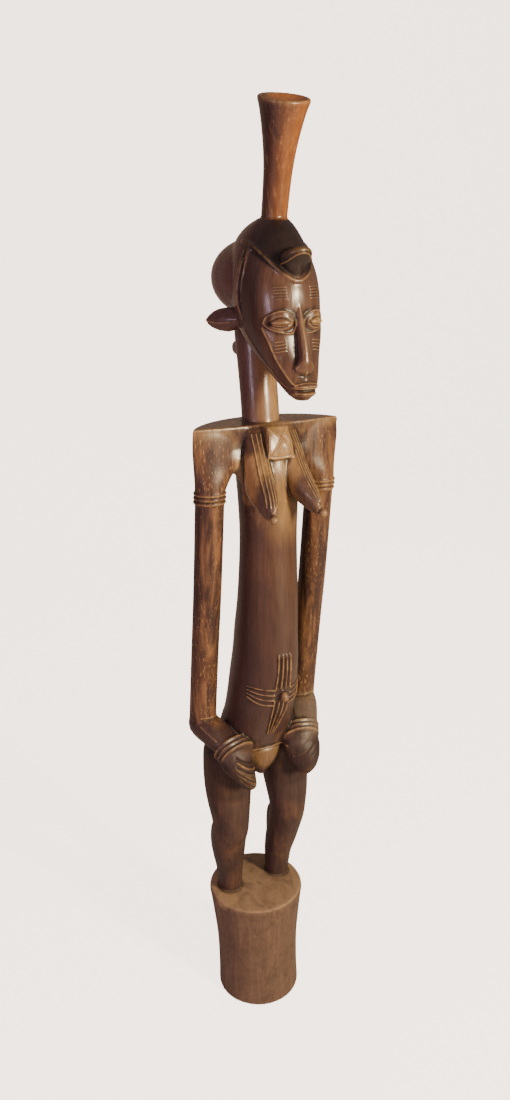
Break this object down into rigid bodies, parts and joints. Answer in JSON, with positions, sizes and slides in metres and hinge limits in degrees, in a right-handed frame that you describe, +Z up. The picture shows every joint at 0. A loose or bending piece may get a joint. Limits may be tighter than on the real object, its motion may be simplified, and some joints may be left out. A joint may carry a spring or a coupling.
{
  "type": "rhythm pounder figure",
  "caption": "Carved wooden rhythm pounder: a standing female figure on a drum-shaped base, with a flared post rising from the head.",
  "frame": {"origin": "centre of the drum-shaped base's flat underside", "axes": "+Z up the figure to the post's rim, -Y the way that the face looks, +X the figure's left"},
  "size_m": [0.172, 0.1796, 1.0551],
  "materials": {
    "wood": "polished dark brown, worn"
  },
  "bodies": {
    "root": {"figure": "wood"}
  },
  "joints": []
}
